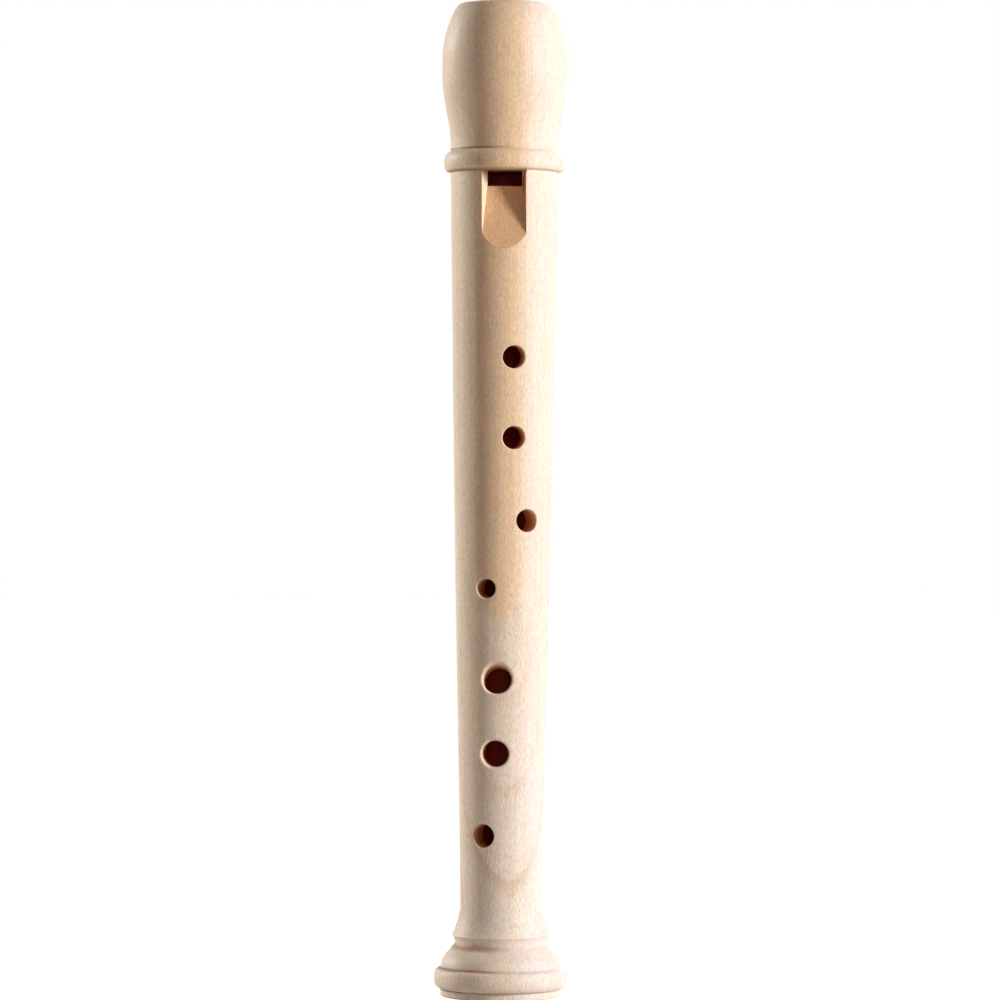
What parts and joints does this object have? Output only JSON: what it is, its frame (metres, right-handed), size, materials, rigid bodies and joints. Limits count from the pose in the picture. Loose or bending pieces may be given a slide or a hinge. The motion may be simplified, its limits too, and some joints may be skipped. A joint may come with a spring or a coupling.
{
  "type": "recorder",
  "caption": "Recorder of the smallest size: one turned maple body with a conical bore, a voicing window and finger holes, and a cedar block that pushes out of the beak.",
  "frame": {"origin": "centre of the foot's flat end, on the bore's axis", "axes": "+Z along the bore from the foot to the beak; the window and the finger holes face -Y, the thumb hole and the hollow of the beak face +Y; +X is to the right when the finger holes face the viewer"},
  "size_m": [0.0224, 0.0224, 0.165],
  "materials": {
    "maple": "pale maple, oiled and satin, with fine fleck along the bore",
    "cedar": "bare red-brown cedar, matt"
  },
  "bodies": {
    "body": {"body": "maple"},
    "block": {"block": "cedar"}
  },
  "joints": [
    {"name": "block_slide", "type": "slide", "parent": "body", "child": "block", "axis": [0, 0, 1], "range_m": [0, 0.03]}
  ]
}
